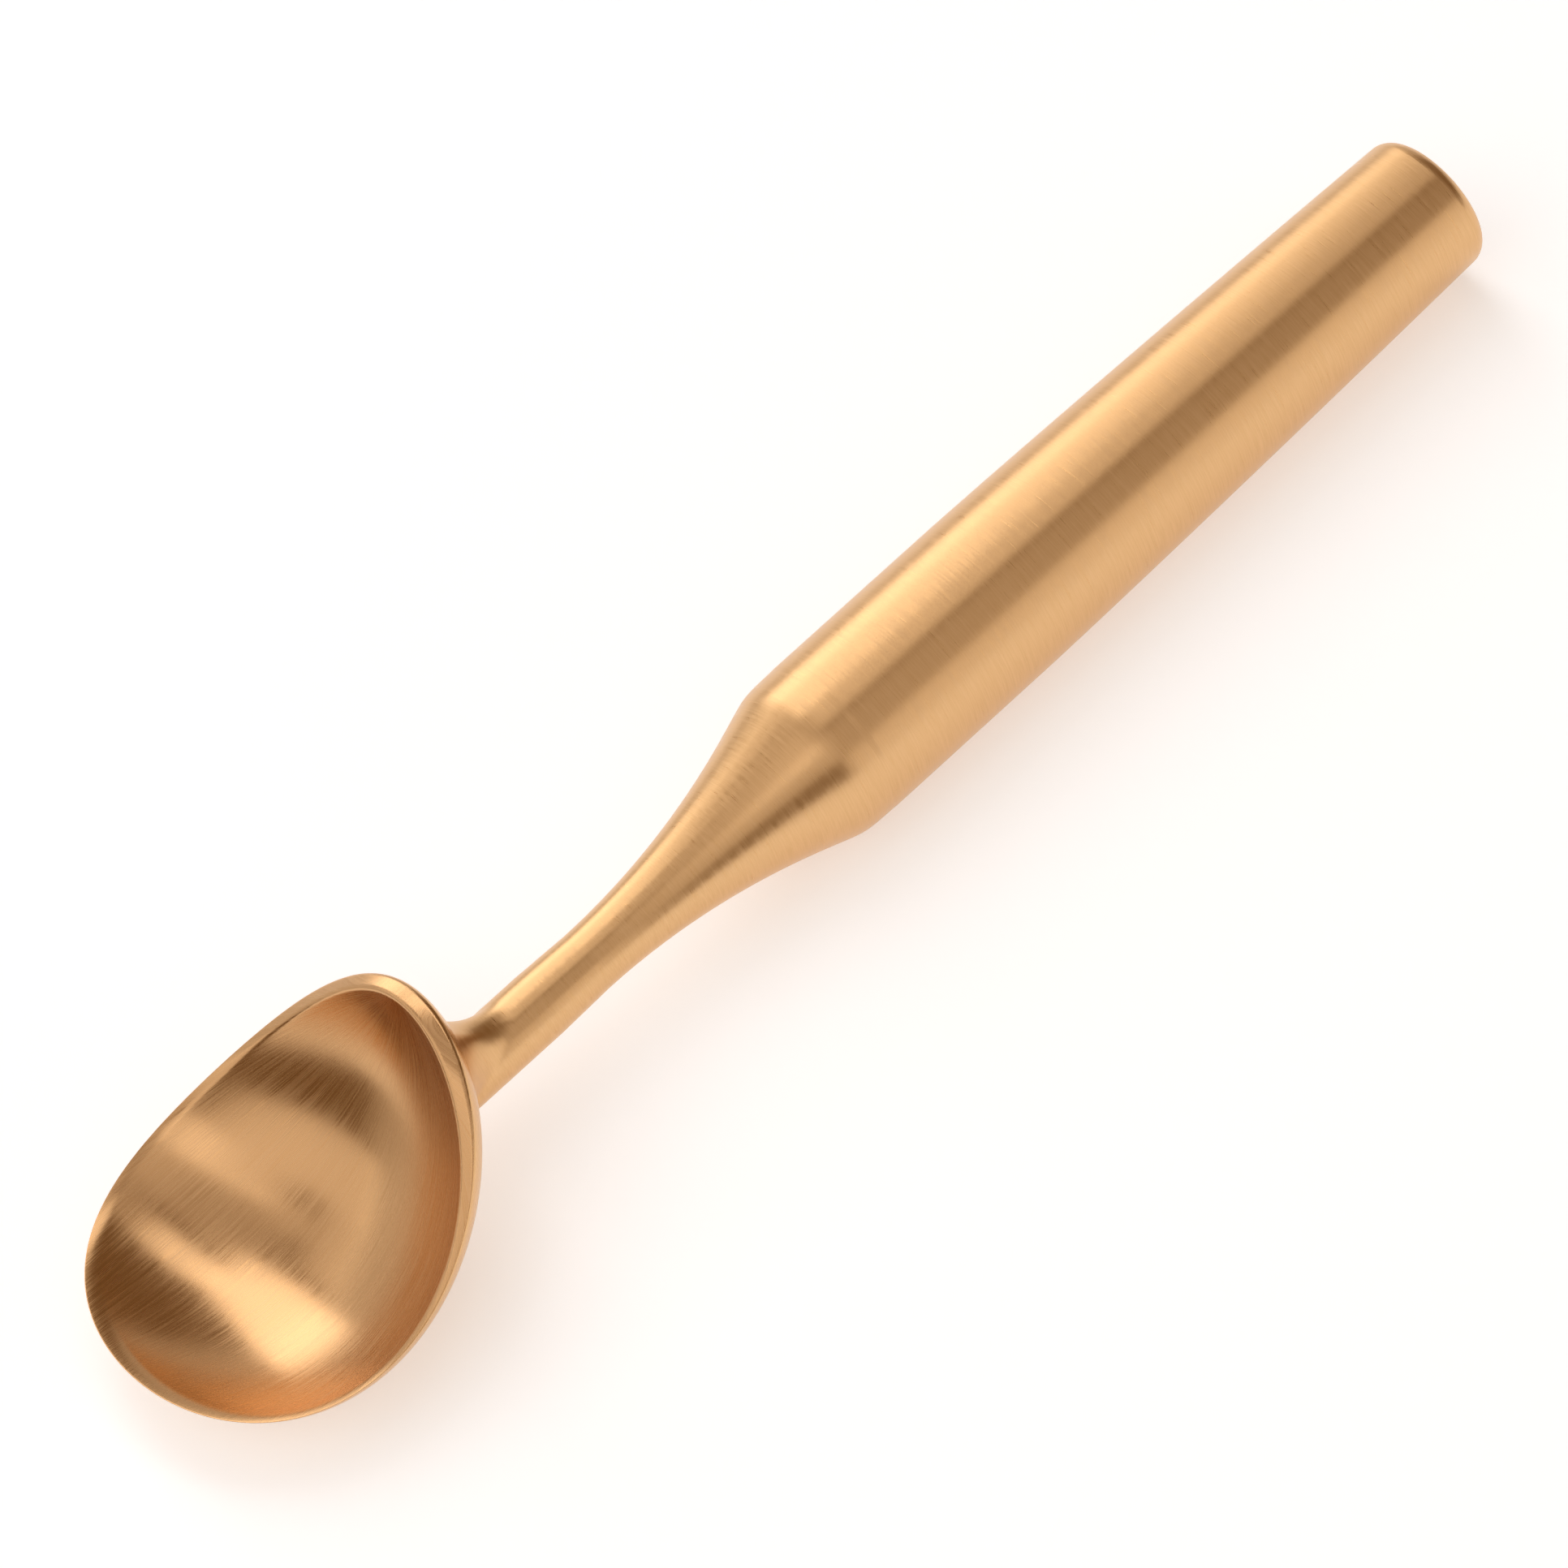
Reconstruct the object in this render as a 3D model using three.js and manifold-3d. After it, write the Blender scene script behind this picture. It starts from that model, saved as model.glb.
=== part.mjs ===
// Ice cream scoop in brushed gold-coloured metal.
// A spherical bowl with a swept rim sits on a turned neck, and a hollow, slightly tapered handle
// closed by an end cap carries the neck. Nothing on it moves.
// X runs along the handle towards the bowl's lip, Y is across it and Z is up, out of the bowl.
// It lies on a table as it is used to lie: bowl open upwards, bowl and handle both touching z = 0.
import * as THREE from 'three';
import { mergeVertices } from 'three/addons/utils/BufferGeometryUtils.js';
import Module from 'manifold-3d';

const wasm = await Module();
wasm.setup();

// Handle, in millimetres. Stations along it are measured from its rear end.
const HANDLE_RADIUS = 10.5;
const HANDLE_REAR_RADIUS = 8.85;
const HANDLE_TAPER_LENGTH = 74.35;
const HANDLE_TAPER_POWER = 1.35;
const HANDLE_LENGTH = 99.35;
const TUBE_WALL = 1.2;

// End cap
const CAP_LENGTH = 6;
const CAP_EDGE_ROUND = 2;
const CAP_FACE_WALL = 2;
const CAP_SKIRT_DEPTH = 6;
const CAP_SKIRT_WALL = 1.2;

// Seams that are filled, ground flush and brushed over
const SEAM_WIDTH = 0.8;
const SEAM_GAP = 0.05;
const SPIGOT_CLEARANCE = 0.15;

// Neck: a shoulder, a long hollow arc down to the slimmest place, and a slight swelling to the bowl
const NECK_SLIM_RADIUS = 3.9;
const NECK_END_RADIUS = 4.1;
const NECK_ARC_RADIUS = 96.5;
const NECK_ARC_LENGTH = 39.2;
const NECK_SHANK_LENGTH = 7.2;
const SHOULDER_SOFTNESS = 0.35;
const SHOULDER_LENGTH = 8;
const NECK_REAR_SPIGOT_LENGTH = 10;
const NECK_RELIEF_RADIUS = 5.5;
const NECK_RELIEF_DEPTH = 18;
const NECK_FRONT_SPIGOT_RADIUS = 2.6;
const NECK_FRONT_SPIGOT_LENGTH = 8;

// Bowl: part of a spherical shell, whose outside swells below the rim, more under the heel than the lip
const BOWL_RADIUS = 29.5;
const BOWL_WALL = 2;
const BOWL_CENTRE_FROM_SOCKET = 42.25;
const HEEL_SWELL = 1.65;
const LIP_SWELL = 0.4;

// Rim, seen from above: an egg that is broadest towards the lip
const RIM_HALF_LENGTH = 24.75;
const RIM_HALF_WIDTH = 23.3;
const RIM_CENTRE_OFFSET = -6.15;
const RIM_BLUNTNESS = 0.86;
const RIM_EGG = 2;
const RIM_FULLNESS = 0.44;

// Rim, seen from the side: heights over the handle axis, swept up to the heel behind
const LIP_HEIGHT = -1.9;
const SIDE_HEIGHT = 1.5;
const HEEL_HEIGHT = 17.85;
const HEEL_SWEEP = 0.47;

// Rim face: thick at the heel, thinner along the cutting sides, falling a little inwards at the lip
const HEEL_THICKNESS = 2.4;
const SIDE_THICKNESS = 1;
const LIP_THICKNESS = 1.45;
const LIP_FALL = 0.45;

// Socket: the root on the back of the bowl that takes the neck's spigot, filleted all round into the bowl
const SOCKET_FILLET_RADIUS = 9;

// Facets
const TURN_SEGMENTS = 36;
const RIM_SEGMENTS = 60;
const BOWL_ROWS = 10;
const TUBE_STEPS = 8;
const SHOULDER_STEPS = 6;
const ARC_STEPS = 9;
const ROUND_STEPS = 6;
const CUT_STEPS = 48;
const HALVINGS = 40;

// Stations along the axis that follow from the sizes above
const capSeam = CAP_LENGTH;
const tubeStart = capSeam + SEAM_WIDTH;
const tubeEnd = HANDLE_LENGTH;
const neckStart = tubeEnd + SEAM_WIDTH;
const neckSlim = neckStart + NECK_ARC_LENGTH;
const neckEnd = neckSlim + NECK_SHANK_LENGTH;
const socketStart = neckEnd + SEAM_WIDTH;
const bowlCentreX = socketStart + BOWL_CENTRE_FROM_SOCKET;
const bowlCentreZ = BOWL_RADIUS - HANDLE_RADIUS;
const rimCentreX = bowlCentreX + RIM_CENTRE_OFFSET;

// Outer radius of the handle at a station
function handleRadius(x) {
  const left = Math.max(0, (HANDLE_TAPER_LENGTH - x) / HANDLE_TAPER_LENGTH);
  return HANDLE_RADIUS - (HANDLE_RADIUS - HANDLE_REAR_RADIUS) * left ** HANDLE_TAPER_POWER;
}

// Outer radius of the neck: the hollow arc, softened where it runs into the handle's radius
function neckRadius(x) {
  if (x > neckSlim) {
    const share = (x - neckSlim) / NECK_SHANK_LENGTH;
    return NECK_SLIM_RADIUS + (NECK_END_RADIUS - NECK_SLIM_RADIUS) * share;
  }
  const back = neckSlim - x;
  const arc = NECK_SLIM_RADIUS + NECK_ARC_RADIUS - Math.sqrt(NECK_ARC_RADIUS ** 2 - back ** 2);
  const sum = HANDLE_RADIUS + arc;
  const difference = HANDLE_RADIUS - arc;
  return (sum - Math.hypot(difference, SHOULDER_SOFTNESS)) / 2;
}

// Turns a geometry so that its faces point outwards
function outward(geometry) {
  geometry.deleteAttribute('normal');
  geometry.deleteAttribute('uv');
  const merged = mergeVertices(geometry, 1e-4);
  const position = merged.getAttribute('position');
  const index = merged.getIndex().array;
  const a = new THREE.Vector3();
  const b = new THREE.Vector3();
  const c = new THREE.Vector3();
  const kept = [];
  let volume = 0;
  for (let i = 0; i < index.length; i += 3) {
    const [p, q, r] = [index[i], index[i + 1], index[i + 2]];
    if (p === q || q === r || r === p) continue;
    kept.push(p, q, r);
    a.fromBufferAttribute(position, p);
    b.fromBufferAttribute(position, q);
    c.fromBufferAttribute(position, r);
    volume += a.dot(b.cross(c)) / 6;
  }
  if (volume < 0) kept.reverse();
  merged.setIndex(kept);
  merged.computeVertexNormals();
  return merged;
}

// Turned piece about the X axis from a closed profile of [station, radius] points
function turned(profile) {
  const points = profile.map(([x, radius]) => new THREE.Vector2(radius, x));
  points.push(points[0].clone());
  const geometry = new THREE.LatheGeometry(points, TURN_SEGMENTS);
  geometry.rotateZ(-Math.PI / 2);
  return outward(geometry);
}

// Closed skin over a row of equal rings, with a point at each end
function ringSolid(start, rings, end) {
  const count = rings[0].length;
  const vertices = [start, ...rings.flat(), end];
  const positions = new Float32Array(vertices.flatMap((v) => [v.x, v.y, v.z]));
  const last = vertices.length - 1;
  const index = [];
  for (let k = 0; k < count; k += 1) {
    const next = (k + 1) % count;
    index.push(0, 1 + next, 1 + k);
    for (let row = 0; row + 1 < rings.length; row += 1) {
      const here = 1 + row * count;
      const there = here + count;
      index.push(here + k, here + next, there + k);
      index.push(here + next, there + next, there + k);
    }
    const end0 = 1 + (rings.length - 1) * count;
    index.push(last, end0 + k, end0 + next);
  }
  const geometry = new THREE.BufferGeometry();
  geometry.setAttribute('position', new THREE.BufferAttribute(positions, 3));
  geometry.setIndex(index);
  return outward(geometry);
}

function toSolid(geometry) {
  const vertProperties = new Float32Array(geometry.getAttribute('position').array);
  const triVerts = new Uint32Array(geometry.getIndex().array);
  return new wasm.Manifold(new wasm.Mesh({ numProp: 3, vertProperties, triVerts }));
}

function toGeometry(solid) {
  const mesh = solid.getMesh();
  const geometry = new THREE.BufferGeometry();
  geometry.setAttribute('position', new THREE.BufferAttribute(new Float32Array(mesh.vertProperties), 3));
  geometry.setIndex(new THREE.BufferAttribute(new Uint32Array(mesh.triVerts), 1));
  return outward(geometry);
}

// Points of a curve radius(x) between two stations
function along(from, to, steps, radius) {
  const points = [];
  for (let i = 0; i <= steps; i += 1) {
    const x = from + ((to - from) * i) / steps;
    points.push([x, radius(x)]);
  }
  return points;
}

// End cap: flat rear face, rounded edge and a skirt that slides into the tube
const skirtRadius = handleRadius(tubeStart) - TUBE_WALL - SPIGOT_CLEARANCE;
const skirtEnd = capSeam + SEAM_WIDTH + CAP_SKIRT_DEPTH;
const capProfile = [[0, 0]];
for (let i = 0; i <= ROUND_STEPS; i += 1) {
  const angle = (i / ROUND_STEPS) * (Math.PI / 2);
  const radius = handleRadius(CAP_EDGE_ROUND) - CAP_EDGE_ROUND * (1 - Math.sin(angle));
  capProfile.push([CAP_EDGE_ROUND * (1 - Math.cos(angle)), radius]);
}
capProfile.push([capSeam, handleRadius(capSeam)]);
capProfile.push([capSeam, skirtRadius]);
capProfile.push([skirtEnd, skirtRadius]);
capProfile.push([skirtEnd, skirtRadius - CAP_SKIRT_WALL]);
capProfile.push([CAP_FACE_WALL, skirtRadius - CAP_SKIRT_WALL]);
capProfile.push([CAP_FACE_WALL, 0]);

// Cap seam: a flush ring of filler round the skirt
const capWeldProfile = [
  [capSeam + SEAM_GAP, skirtRadius + SPIGOT_CLEARANCE],
  [tubeStart - SEAM_GAP, skirtRadius + SPIGOT_CLEARANCE],
  [tubeStart - SEAM_GAP, handleRadius(tubeStart)],
  [capSeam + SEAM_GAP, handleRadius(capSeam)],
];

// Handle tube: the same taper outside and inside
const tubeProfile = [
  ...along(tubeStart, tubeEnd, TUBE_STEPS, handleRadius),
  ...along(tubeStart, tubeEnd, TUBE_STEPS, (x) => handleRadius(x) - TUBE_WALL).reverse(),
];

// Shoulder seam: a flush ring of filler round the neck's rear spigot
const rearSpigotRadius = handleRadius(tubeEnd) - TUBE_WALL - SPIGOT_CLEARANCE;
const shoulderWeldProfile = [
  [tubeEnd + SEAM_GAP, rearSpigotRadius + SPIGOT_CLEARANCE],
  [neckStart - SEAM_GAP, rearSpigotRadius + SPIGOT_CLEARANCE],
  [neckStart - SEAM_GAP, neckRadius(neckStart)],
  [tubeEnd + SEAM_GAP, handleRadius(tubeEnd)],
];

// Neck: rear spigot with a blind relief bore, shoulder, hollow arc, shank and front spigot
const neckRear = tubeEnd - NECK_REAR_SPIGOT_LENGTH;
const neckTip = socketStart + NECK_FRONT_SPIGOT_LENGTH;
const shoulderEnd = neckStart + SHOULDER_LENGTH;
const neckProfile = [
  [neckRear, NECK_RELIEF_RADIUS],
  [neckRear, rearSpigotRadius],
  [neckStart, rearSpigotRadius],
  ...along(neckStart, shoulderEnd, SHOULDER_STEPS, neckRadius),
  ...along(shoulderEnd, neckSlim, ARC_STEPS, neckRadius).slice(1),
  [neckEnd, neckRadius(neckEnd)],
  [neckEnd, NECK_FRONT_SPIGOT_RADIUS],
  [neckTip, NECK_FRONT_SPIGOT_RADIUS],
  [neckTip, 0],
  [neckRear + NECK_RELIEF_DEPTH, 0],
  [neckRear + NECK_RELIEF_DEPTH, NECK_RELIEF_RADIUS],
];

// Bowl seam: a flush ring of filler round the neck's front spigot
const bowlWeldProfile = [
  [neckEnd + SEAM_GAP, NECK_FRONT_SPIGOT_RADIUS + SPIGOT_CLEARANCE],
  [socketStart - SEAM_GAP, NECK_FRONT_SPIGOT_RADIUS + SPIGOT_CLEARANCE],
  [socketStart - SEAM_GAP, NECK_END_RADIUS],
  [neckEnd + SEAM_GAP, NECK_END_RADIUS],
];

// Outer edge of the rim; the angle starts at the lip and turns towards +Y
function rimOuter(angle) {
  const middle = (LIP_HEIGHT + HEEL_HEIGHT) / 2;
  const rise = (LIP_HEIGHT - HEEL_HEIGHT) / 2;
  const x = rimCentreX + RIM_HALF_LENGTH * Math.cos(angle) + RIM_BLUNTNESS * Math.cos(2 * angle);
  const broad = RIM_EGG * Math.sin(2 * angle) + RIM_FULLNESS * Math.sin(3 * angle);
  const y = RIM_HALF_WIDTH * Math.sin(angle) + broad;
  const level = (middle + SIDE_HEIGHT) / 2 + ((middle - SIDE_HEIGHT) / 2) * Math.cos(2 * angle);
  const z = level + (rise + HEEL_SWEEP) * Math.cos(angle) - HEEL_SWEEP * Math.cos(3 * angle);
  return new THREE.Vector3(x, y, z);
}

// Inner edge of the rim: the outer edge moved inwards by the local thickness
function rimInner(angle) {
  const here = rimOuter(angle);
  const run = rimOuter(angle + 0.001).sub(rimOuter(angle - 0.001));
  const inwards = new THREE.Vector3(-run.y, run.x, 0).normalize();
  const ends = (LIP_THICKNESS + HEEL_THICKNESS) / 2;
  const even = (ends + SIDE_THICKNESS) / 2 + ((ends - SIDE_THICKNESS) / 2) * Math.cos(2 * angle);
  const thickness = even + ((LIP_THICKNESS - HEEL_THICKNESS) / 2) * Math.cos(angle);
  const fall = (LIP_FALL * (1 + Math.cos(angle))) / 2;
  return here.addScaledVector(inwards, thickness).setZ(here.z - fall);
}

// Swelling of the outside at a place round the rim
function swellAt(angle) {
  return LIP_SWELL + ((HEEL_SWELL - LIP_SWELL) * (1 - Math.cos(angle))) / 2;
}

// A rim point as seen from the bowl's centre: its turn, its angle from straight down and its distance
function rimFromCentre(rim) {
  const out = Math.hypot(rim.x - bowlCentreX, rim.y);
  const turn = Math.atan2(rim.y, rim.x - bowlCentreX);
  const down = Math.atan2(out, bowlCentreZ - rim.z);
  return { turn, down, distance: Math.hypot(out, bowlCentreZ - rim.z) };
}

// Distance of a bowl surface from the centre between its lowest point (share 0) and its rim (share 1);
// the swelling is greatest at two thirds of share squared, where the factor 27/4 brings its curve to one
function surfaceRadius(poleRadius, rimRadius, swell, share) {
  const plain = poleRadius + (rimRadius - poleRadius) * share ** 2;
  return plain + swell * (27 / 4) * share ** 4 * (1 - share ** 2);
}

function bowlPoint(rim, swell, poleRadius, share) {
  const { turn, down, distance } = rimFromCentre(rim);
  const radius = surfaceRadius(poleRadius, distance, swell, share);
  const level = radius * Math.sin(down * share);
  const depth = radius * Math.cos(down * share);
  const x = bowlCentreX + level * Math.cos(turn);
  return new THREE.Vector3(x, level * Math.sin(turn), bowlCentreZ - depth);
}

// Rings of a bowl surface; the swelling is whole on the outside and nothing on the inside
function bowlRings(rimAt, poleRadius, swellShare) {
  const rings = [];
  for (let row = 1; row <= BOWL_ROWS; row += 1) {
    const ring = [];
    for (let k = 0; k < RIM_SEGMENTS; k += 1) {
      const angle = (k / RIM_SEGMENTS) * 2 * Math.PI;
      ring.push(bowlPoint(rimAt(angle), swellShare * swellAt(angle), poleRadius, row / BOWL_ROWS));
    }
    rings.push(ring);
  }
  return rings;
}

// Shell between the outer and the inner surface, closed by the rim face
function bowlShell() {
  const innerRadius = BOWL_RADIUS - BOWL_WALL;
  const outside = bowlRings(rimOuter, BOWL_RADIUS, 1);
  const inside = bowlRings(rimInner, innerRadius, 0).reverse();
  const outerPole = new THREE.Vector3(bowlCentreX, 0, bowlCentreZ - BOWL_RADIUS);
  const innerPole = new THREE.Vector3(bowlCentreX, 0, bowlCentreZ - innerRadius);
  return ringSolid(outerPole, [...outside, ...inside], innerPole);
}

// Everything inside the middle of the wall, which ends the socket's root within the wall
function bowlCore() {
  const middleRadius = BOWL_RADIUS - BOWL_WALL / 2;
  const rimMiddle = (angle) => rimOuter(angle).lerp(rimInner(angle), 0.5);
  const rings = bowlRings(rimMiddle, middleRadius, 0.5);
  const pole = new THREE.Vector3(bowlCentreX, 0, bowlCentreZ - middleRadius);
  const lid = new THREE.Vector3(bowlCentreX, 0, bowlCentreZ);
  return ringSolid(pole, rings, lid);
}

// Distance of the outer wall from the bowl's centre in the direction of a point; the rim angle above
// the point is found by halving
function wallRadius(point) {
  const turn = Math.abs(Math.atan2(point.y, point.x - bowlCentreX));
  let low = 0;
  let high = Math.PI;
  for (let i = 0; i < HALVINGS; i += 1) {
    const middle = (low + high) / 2;
    if (rimFromCentre(rimOuter(middle)).turn < turn) low = middle;
    else high = middle;
  }
  const rim = rimFromCentre(rimOuter(low));
  const down = Math.atan2(Math.hypot(point.x - bowlCentreX, point.y), bowlCentreZ - point.z);
  return surfaceRadius(BOWL_RADIUS, rim.distance, swellAt(low), down / rim.down);
}

// Point of the outer wall behind the bowl, as station and height over the handle axis, in the plane
// through that axis at a turn; lift is the angle over the axis direction as seen from the cut's middle
function wallPoint(turn, lift) {
  const middleHeight = bowlCentreZ * Math.sin(turn);
  const aside = bowlCentreZ * Math.cos(turn);
  const spot = new THREE.Vector2();
  let reach = Math.sqrt(BOWL_RADIUS ** 2 - aside ** 2);
  for (let i = 0; i < 8; i += 1) {
    spot.set(bowlCentreX - reach * Math.cos(lift), middleHeight + reach * Math.sin(lift));
    const point = new THREE.Vector3(spot.x, spot.y * Math.cos(turn), spot.y * Math.sin(turn));
    reach = Math.sqrt(wallRadius(point) ** 2 - aside ** 2);
  }
  return spot;
}

// Socket: the neck's round, carried on until a fillet of constant radius lifts it off onto the bowl.
// Each line runs in a plane through the handle axis. There a ball that touches the round is moved
// along it, by halving, until it touches the cut of the bowl's wall as well.
function socketLine(turn) {
  const ballHeight = NECK_END_RADIUS + SOCKET_FILLET_RADIUS;
  const middleHeight = bowlCentreZ * Math.sin(turn);
  const reach = Math.sqrt(BOWL_RADIUS ** 2 - (bowlCentreZ * Math.cos(turn)) ** 2);
  const lowest = Math.asin((NECK_END_RADIUS - middleHeight) / reach);
  const highest = Math.asin(Math.min(1, (ballHeight - middleHeight) / reach));
  const cut = [];
  for (let i = 0; i <= CUT_STEPS; i += 1) cut.push(wallPoint(turn, lowest + ((highest - lowest) * i) / CUT_STEPS));
  const ball = new THREE.Vector2(0, ballHeight);
  const nearest = () => cut.reduce((best, spot) => (spot.distanceTo(ball) < best.distanceTo(ball) ? spot : best));
  let far = cut[0].x - 3 * SOCKET_FILLET_RADIUS;
  let close = cut[CUT_STEPS].x;
  for (let i = 0; i < HALVINGS; i += 1) {
    ball.x = (far + close) / 2;
    if (nearest().distanceTo(ball) > SOCKET_FILLET_RADIUS) far = ball.x;
    else close = ball.x;
  }
  const touch = nearest();
  const sweep = Math.atan2(touch.x - ball.x, ballHeight - touch.y);
  const line = [[socketStart, NECK_END_RADIUS]];
  for (let i = 0; i <= ROUND_STEPS; i += 1) {
    const angle = (sweep * i) / ROUND_STEPS;
    const x = ball.x + SOCKET_FILLET_RADIUS * Math.sin(angle);
    line.push([x, ballHeight - SOCKET_FILLET_RADIUS * Math.cos(angle)]);
  }
  const sunk = SOCKET_FILLET_RADIUS + BOWL_WALL / 2;
  line.push([ball.x + sunk * Math.sin(sweep), ballHeight - sunk * Math.cos(sweep)]);
  return line.map(([x, r]) => new THREE.Vector3(x, r * Math.cos(turn), r * Math.sin(turn)));
}

function socketRoot() {
  const lines = [];
  for (let k = 0; k < TURN_SEGMENTS; k += 1) lines.push(socketLine((k / TURN_SEGMENTS) * 2 * Math.PI));
  const rings = lines[0].map((_, row) => lines.map((line) => line[row]));
  const rear = new THREE.Vector3(socketStart, 0, 0);
  const front = new THREE.Vector3(bowlCentreX, 0, 0);
  return ringSolid(rear, rings, front);
}

// Bowl casting: shell and socket in one, bored for the neck's spigot
const boreRadius = NECK_FRONT_SPIGOT_RADIUS + SPIGOT_CLEARANCE;
const boreProfile = [
  [neckEnd, 0],
  [neckEnd, boreRadius],
  [neckTip + SPIGOT_CLEARANCE, boreRadius],
  [neckTip + SPIGOT_CLEARANCE, 0],
];
const socket = toSolid(socketRoot()).subtract(toSolid(bowlCore()));
const bowlSolid = toSolid(bowlShell()).add(socket).subtract(toSolid(turned(boreProfile)));

const GOLD = 0xcf9f62;
const GOLD_INSIDE = 0xc08c4e;
const FILLER = 0xc99a5e;

const object = new THREE.Group();
const lipX = rimOuter(0).x;
object.position.set(-lipX / 2, 0, HANDLE_RADIUS);

function addPiece(name, geometry, color, roughness) {
  const material = new THREE.MeshStandardMaterial({ color, roughness, metalness: 1 });
  const mesh = new THREE.Mesh(geometry, material);
  mesh.name = name;
  object.add(mesh);
}

addPiece('bowl', toGeometry(bowlSolid), GOLD_INSIDE, 0.34);
addPiece('bowl_weld', turned(bowlWeldProfile), FILLER, 0.36);
addPiece('neck', turned(neckProfile), GOLD, 0.34);
addPiece('shoulder_weld', turned(shoulderWeldProfile), FILLER, 0.36);
addPiece('handle_tube', turned(tubeProfile), GOLD, 0.34);
addPiece('cap_weld', turned(capWeldProfile), FILLER, 0.36);
addPiece('end_cap', turned(capProfile), GOLD, 0.34);

export default object;
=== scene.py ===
import bpy
import bmesh
import math
from mathutils import Matrix, Vector


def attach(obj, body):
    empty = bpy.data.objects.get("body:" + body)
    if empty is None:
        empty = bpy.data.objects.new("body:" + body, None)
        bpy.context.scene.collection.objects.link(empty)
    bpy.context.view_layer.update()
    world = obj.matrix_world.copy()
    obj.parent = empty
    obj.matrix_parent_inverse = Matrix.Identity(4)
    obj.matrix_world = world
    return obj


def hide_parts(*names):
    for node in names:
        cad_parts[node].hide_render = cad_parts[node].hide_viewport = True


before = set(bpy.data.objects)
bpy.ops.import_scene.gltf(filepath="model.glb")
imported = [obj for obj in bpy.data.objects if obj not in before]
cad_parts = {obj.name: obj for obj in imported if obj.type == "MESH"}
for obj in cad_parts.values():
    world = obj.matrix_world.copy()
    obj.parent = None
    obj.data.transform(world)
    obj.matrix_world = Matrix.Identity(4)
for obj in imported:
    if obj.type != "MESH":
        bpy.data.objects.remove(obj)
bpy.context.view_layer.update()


# Handle tube
# The grip: a hollow metal tube in a gold colour, drawn with a slight taper to the rear.
# It is welded to the neck and to the end cap, and brushed round and round on a belt.
REAR_END_X = -0.10453
AXIS_HEIGHT = 0.0105
HANDLE_RADIUS = 0.0105
HANDLE_REAR_RADIUS = 0.00885
HANDLE_TAPER_LENGTH = 0.07435
HANDLE_TAPER_POWER = 1.35
TUBE_START = 0.0068
TUBE_END = 0.09935
TUBE_WALL = 0.0012
TUBE_STEPS = 96
TURN_STEPS = 160
JOIN_DISTANCE = 0.000001
SHARP_EDGE = math.radians(40.0)
GOLD = (0.81, 0.52, 0.265, 1.0)
GOLD_DEEP = (0.70, 0.42, 0.19, 1.0)
HANDLE_STROKE_WIDTH = 0.00018
HANDLE_STROKE_LENGTH = 0.005
HANDLE_ROUGHNESS = 0.34
ROUGHNESS_SPREAD = 0.1
BRUSH_ANISOTROPY = 0.5
STROKE_DETAIL = 3.0
STROKE_JAGGEDNESS = 0.6
SCRATCH_DETAIL = 4.0
SCRATCH_JAGGEDNESS = 0.7
SCRATCH_SCALE_ACROSS = 0.35
SCRATCH_SCALE_ALONG = 0.4
SCRATCH_SHIFT = (3.1, 7.7, 0.0)
SCRATCH_WEIGHT = 0.6
GRAIN_LOW = 0.5
GRAIN_HIGH = 1.1
BUMP_STRENGTH = 0.4
BUMP_DEPTH = 0.00002


def handle_radius(station):
    left = max(0.0, (HANDLE_TAPER_LENGTH - station) / HANDLE_TAPER_LENGTH)
    return HANDLE_RADIUS - (HANDLE_RADIUS - HANDLE_REAR_RADIUS) * left**HANDLE_TAPER_POWER


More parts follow.
